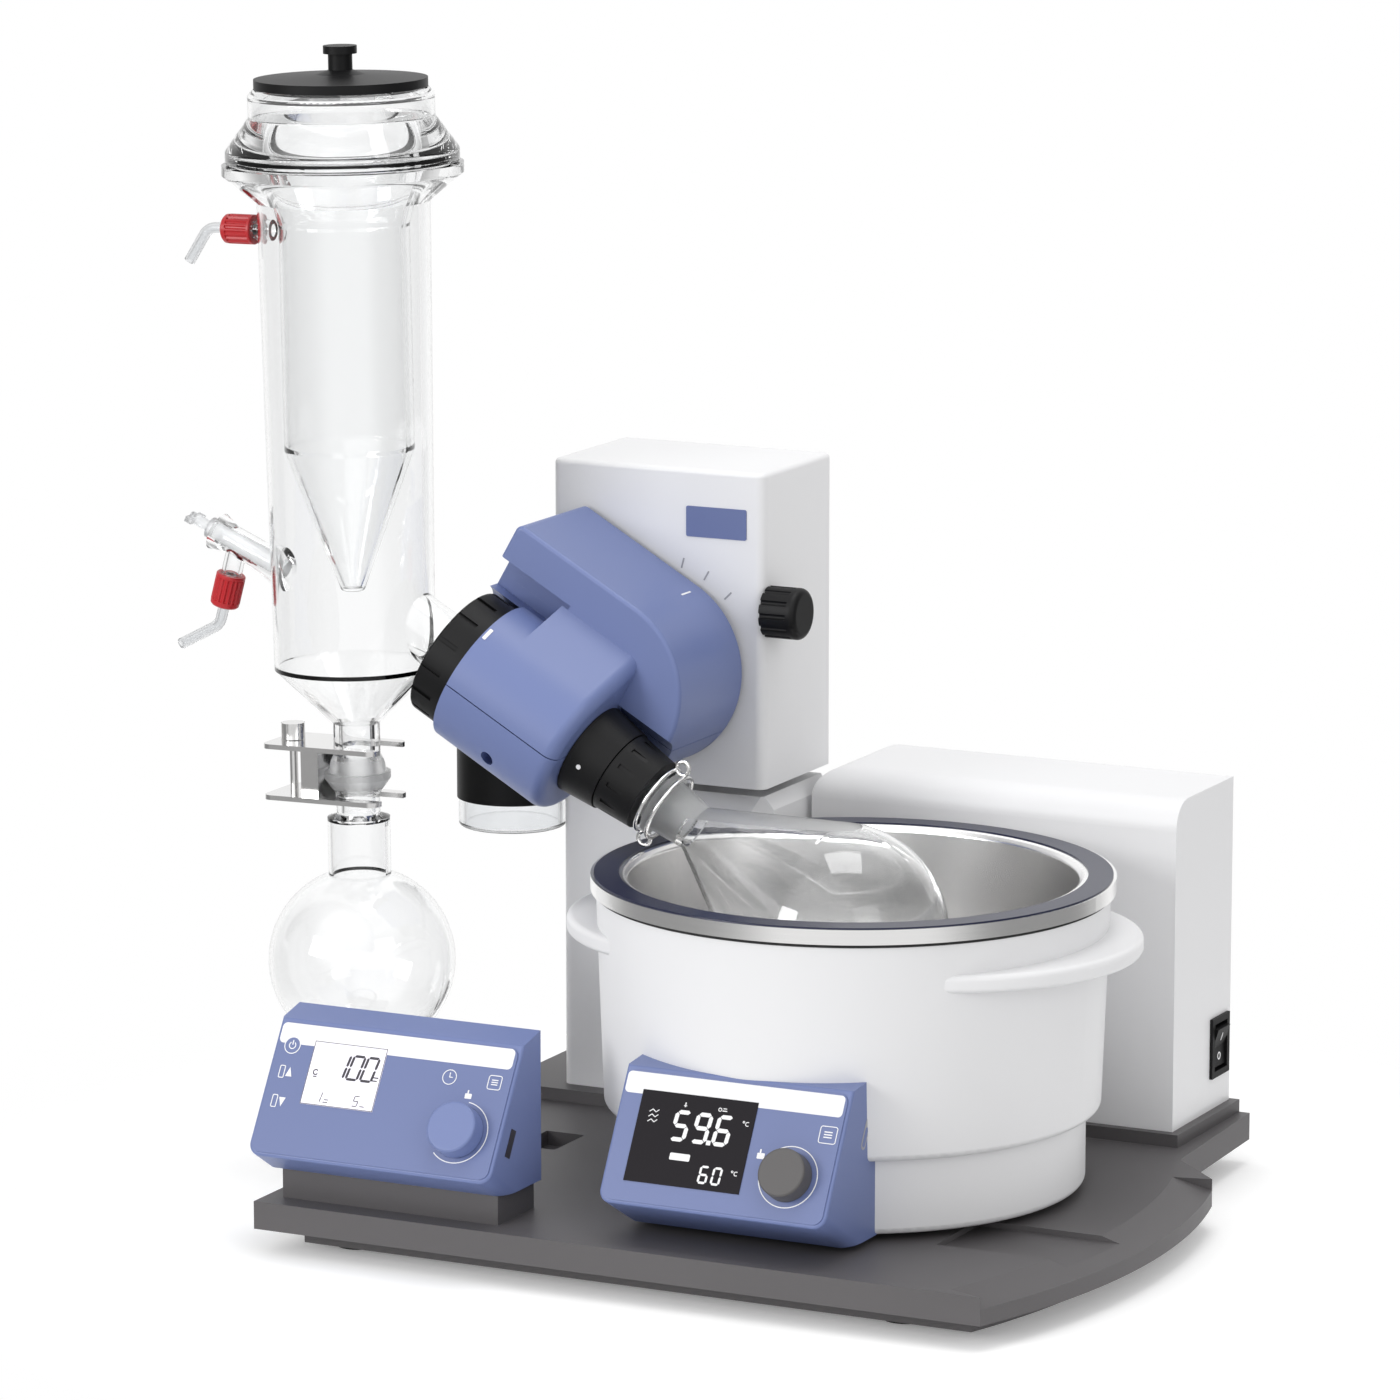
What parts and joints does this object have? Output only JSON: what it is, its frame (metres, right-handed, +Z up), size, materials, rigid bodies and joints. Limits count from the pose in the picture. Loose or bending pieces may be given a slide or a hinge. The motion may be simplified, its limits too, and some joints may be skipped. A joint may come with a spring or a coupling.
{
  "type": "rotary evaporator",
  "caption": "Bench rotary evaporator: lifting drive head with a spinning pear flask over a round heating bath, and an upright glass condenser with a round receiver.",
  "frame": {"origin": "on the standing surface under the middle of the base", "axes": "+Z up, -Y towards the user who faces the two control panels, +X towards the heating bath side"},
  "size_m": [0.6721, 0.4674, 0.7005],
  "materials": {
    "dark_grey": "fine textured paint",
    "white_shell": "satin",
    "blue_shell": "satin",
    "blue_panel": "satin",
    "black_plastic": "satin",
    "rubber": "matt",
    "glass": "clear",
    "steel": "polished",
    "chrome": "polished",
    "brass": "machined",
    "display": "gloss",
    "pale_display": "gloss",
    "red_cap": "satin",
    "navy": "satin",
    "board": "gloss",
    "seal": "matt",
    "aluminium": "machined",
    "clear_cup": "clear",
    "milky": "translucent",
    "grey_knob": "satin"
  },
  "bodies": {
    "stand": {"base_plate": "dark_grey", "bottom_pan": "dark_grey", "feet": "rubber", "lower_column": "white_shell", "guide_rods": "chrome", "rod_bridge": "aluminium", "lift_motor": "aluminium", "housing": "white_shell", "switch_frame": "black_plastic", "mains_inlet": "black_plastic", "circuit_board": "board", "pod_shell": "blue_shell", "pod_keypad": "blue_panel", "pod_display": "pale_display", "bath_shell": "white_shell", "bath_pot": "steel", "pot_ring": "navy", "heater": "aluminium", "bath_feet": "rubber", "bath_panel": "blue_shell", "bath_keypad": "blue_panel", "bath_display": "display"},
    "lift": {"tower_cover": "white_shell", "carriage": "aluminium", "lift_nut": "brass", "cup_holder": "black_plastic", "cup": "clear_cup"},
    "screw": {"lift_screw": "steel"},
    "head": {"head_upper": "blue_shell", "head_lower": "blue_shell", "pivot_shaft": "steel", "drive_motor": "aluminium", "bearings": "steel", "rotor_seal": "seal", "drive_belt": "rubber", "condenser": "glass", "cold_finger": "glass", "hose_caps": "red_cap", "upper_nipple": "milky", "lower_nipple": "milky", "joint_clamp": "steel", "receiver": "glass"},
    "rotor": {"hub": "steel", "hub_pulley": "aluminium", "collar": "black_plastic", "vapour_tube": "glass", "flask": "glass", "flask_clip": "steel"},
    "motor_drive": {"motor_pulley": "aluminium"},
    "flask_release": {"flask_nut": "black_plastic"},
    "condenser_union": {"union_nut": "black_plastic"},
    "condenser_lid": {"lid": "black_plastic"},
    "stopcock": {"valve_spindle": "milky"},
    "joint_screw": {"clamp_screw": "steel"},
    "tilt_clamp": {"tower_knob": "black_plastic"},
    "speed_dial": {"pod_knob": "blue_shell"},
    "heat_dial": {"bath_knob": "grey_knob"},
    "power_rocker": {"rocker": "black_plastic"}
  },
  "joints": [
    {"name": "lift_slide", "type": "slide", "parent": "stand", "child": "lift", "axis": [0, 0, 1], "range_m": [0, 0.14]},
    {"name": "screw_turn", "type": "hinge", "parent": "stand", "child": "screw", "pos_m": [-0.131, 0.1494, 0.2], "axis": [0, 0, 1], "continuous": true},
    {"name": "head_tilt", "type": "hinge", "parent": "lift", "child": "head", "pos_m": [-0.131, 0.075, 0.316], "axis": [0, 1, 0], "range_deg": [-15, 0]},
    {"name": "rotor_spin", "type": "hinge", "parent": "head", "child": "rotor", "pos_m": [-0.14515, -0.021, 0.29149], "axis": [0.866, 0, -0.5], "continuous": true},
    {"name": "motor_spin", "type": "hinge", "parent": "head", "child": "motor_drive", "pos_m": [-0.13745, 0.03, 0.34282], "axis": [0.866, 0, -0.5], "continuous": true},
    {"name": "flask_nut_turn", "type": "hinge", "parent": "rotor", "child": "flask_release", "pos_m": [-0.09492, -0.021, 0.26249], "axis": [0.866, 0, -0.5], "range_deg": [0, 270]},
    {"name": "union_nut_turn", "type": "hinge", "parent": "head", "child": "condenser_union", "pos_m": [-0.2101, -0.021, 0.32899], "axis": [0.866, 0, -0.5], "range_deg": [0, 270]},
    {"name": "lid_lift", "type": "slide", "parent": "head", "child": "condenser_lid", "axis": [-0.0169, 0, 0.9999], "range_m": [0, 0.12]},
    {"name": "stopcock_turn", "type": "hinge", "parent": "head", "child": "stopcock", "pos_m": [-0.38517, -0.021, 0.39565], "axis": [-0.9203, 0, 0.3912], "range_deg": [0, 180]},
    {"name": "joint_screw_turn", "type": "hinge", "parent": "head", "child": "joint_screw", "pos_m": [-0.33293, -0.021, 0.26426], "axis": [-0.0169, 0, 0.9999], "range_deg": [0, 270]},
    {"name": "tilt_clamp_turn", "type": "hinge", "parent": "lift", "child": "tilt_clamp", "pos_m": [-0.05, 0.086, 0.354], "axis": [1, 0, 0], "range_deg": [0, 270]},
    {"name": "speed_dial_turn", "type": "hinge", "parent": "stand", "child": "speed_dial", "pos_m": [-0.1157, -0.21136, 0.08668], "axis": [0, -0.8526, 0.5225], "continuous": true},
    {"name": "heat_dial_turn", "type": "hinge", "parent": "stand", "child": "heat_dial", "pos_m": [0.0923, -0.19803, 0.08085], "axis": [0, -0.8746, 0.4848], "continuous": true},
    {"name": "power_rocker_tip", "type": "hinge", "parent": "stand", "child": "power_rocker", "pos_m": [0.188, 0.216, 0.079], "axis": [0, 1, 0], "range_deg": [-16, 0]}
  ],
  "couplings": [
    {"joint": "screw_turn", "follows": "lift_slide", "rad_per_m": 314.16},
    {"joint": "motor_spin", "follows": "rotor_spin", "ratio": 2.6667}
  ]
}
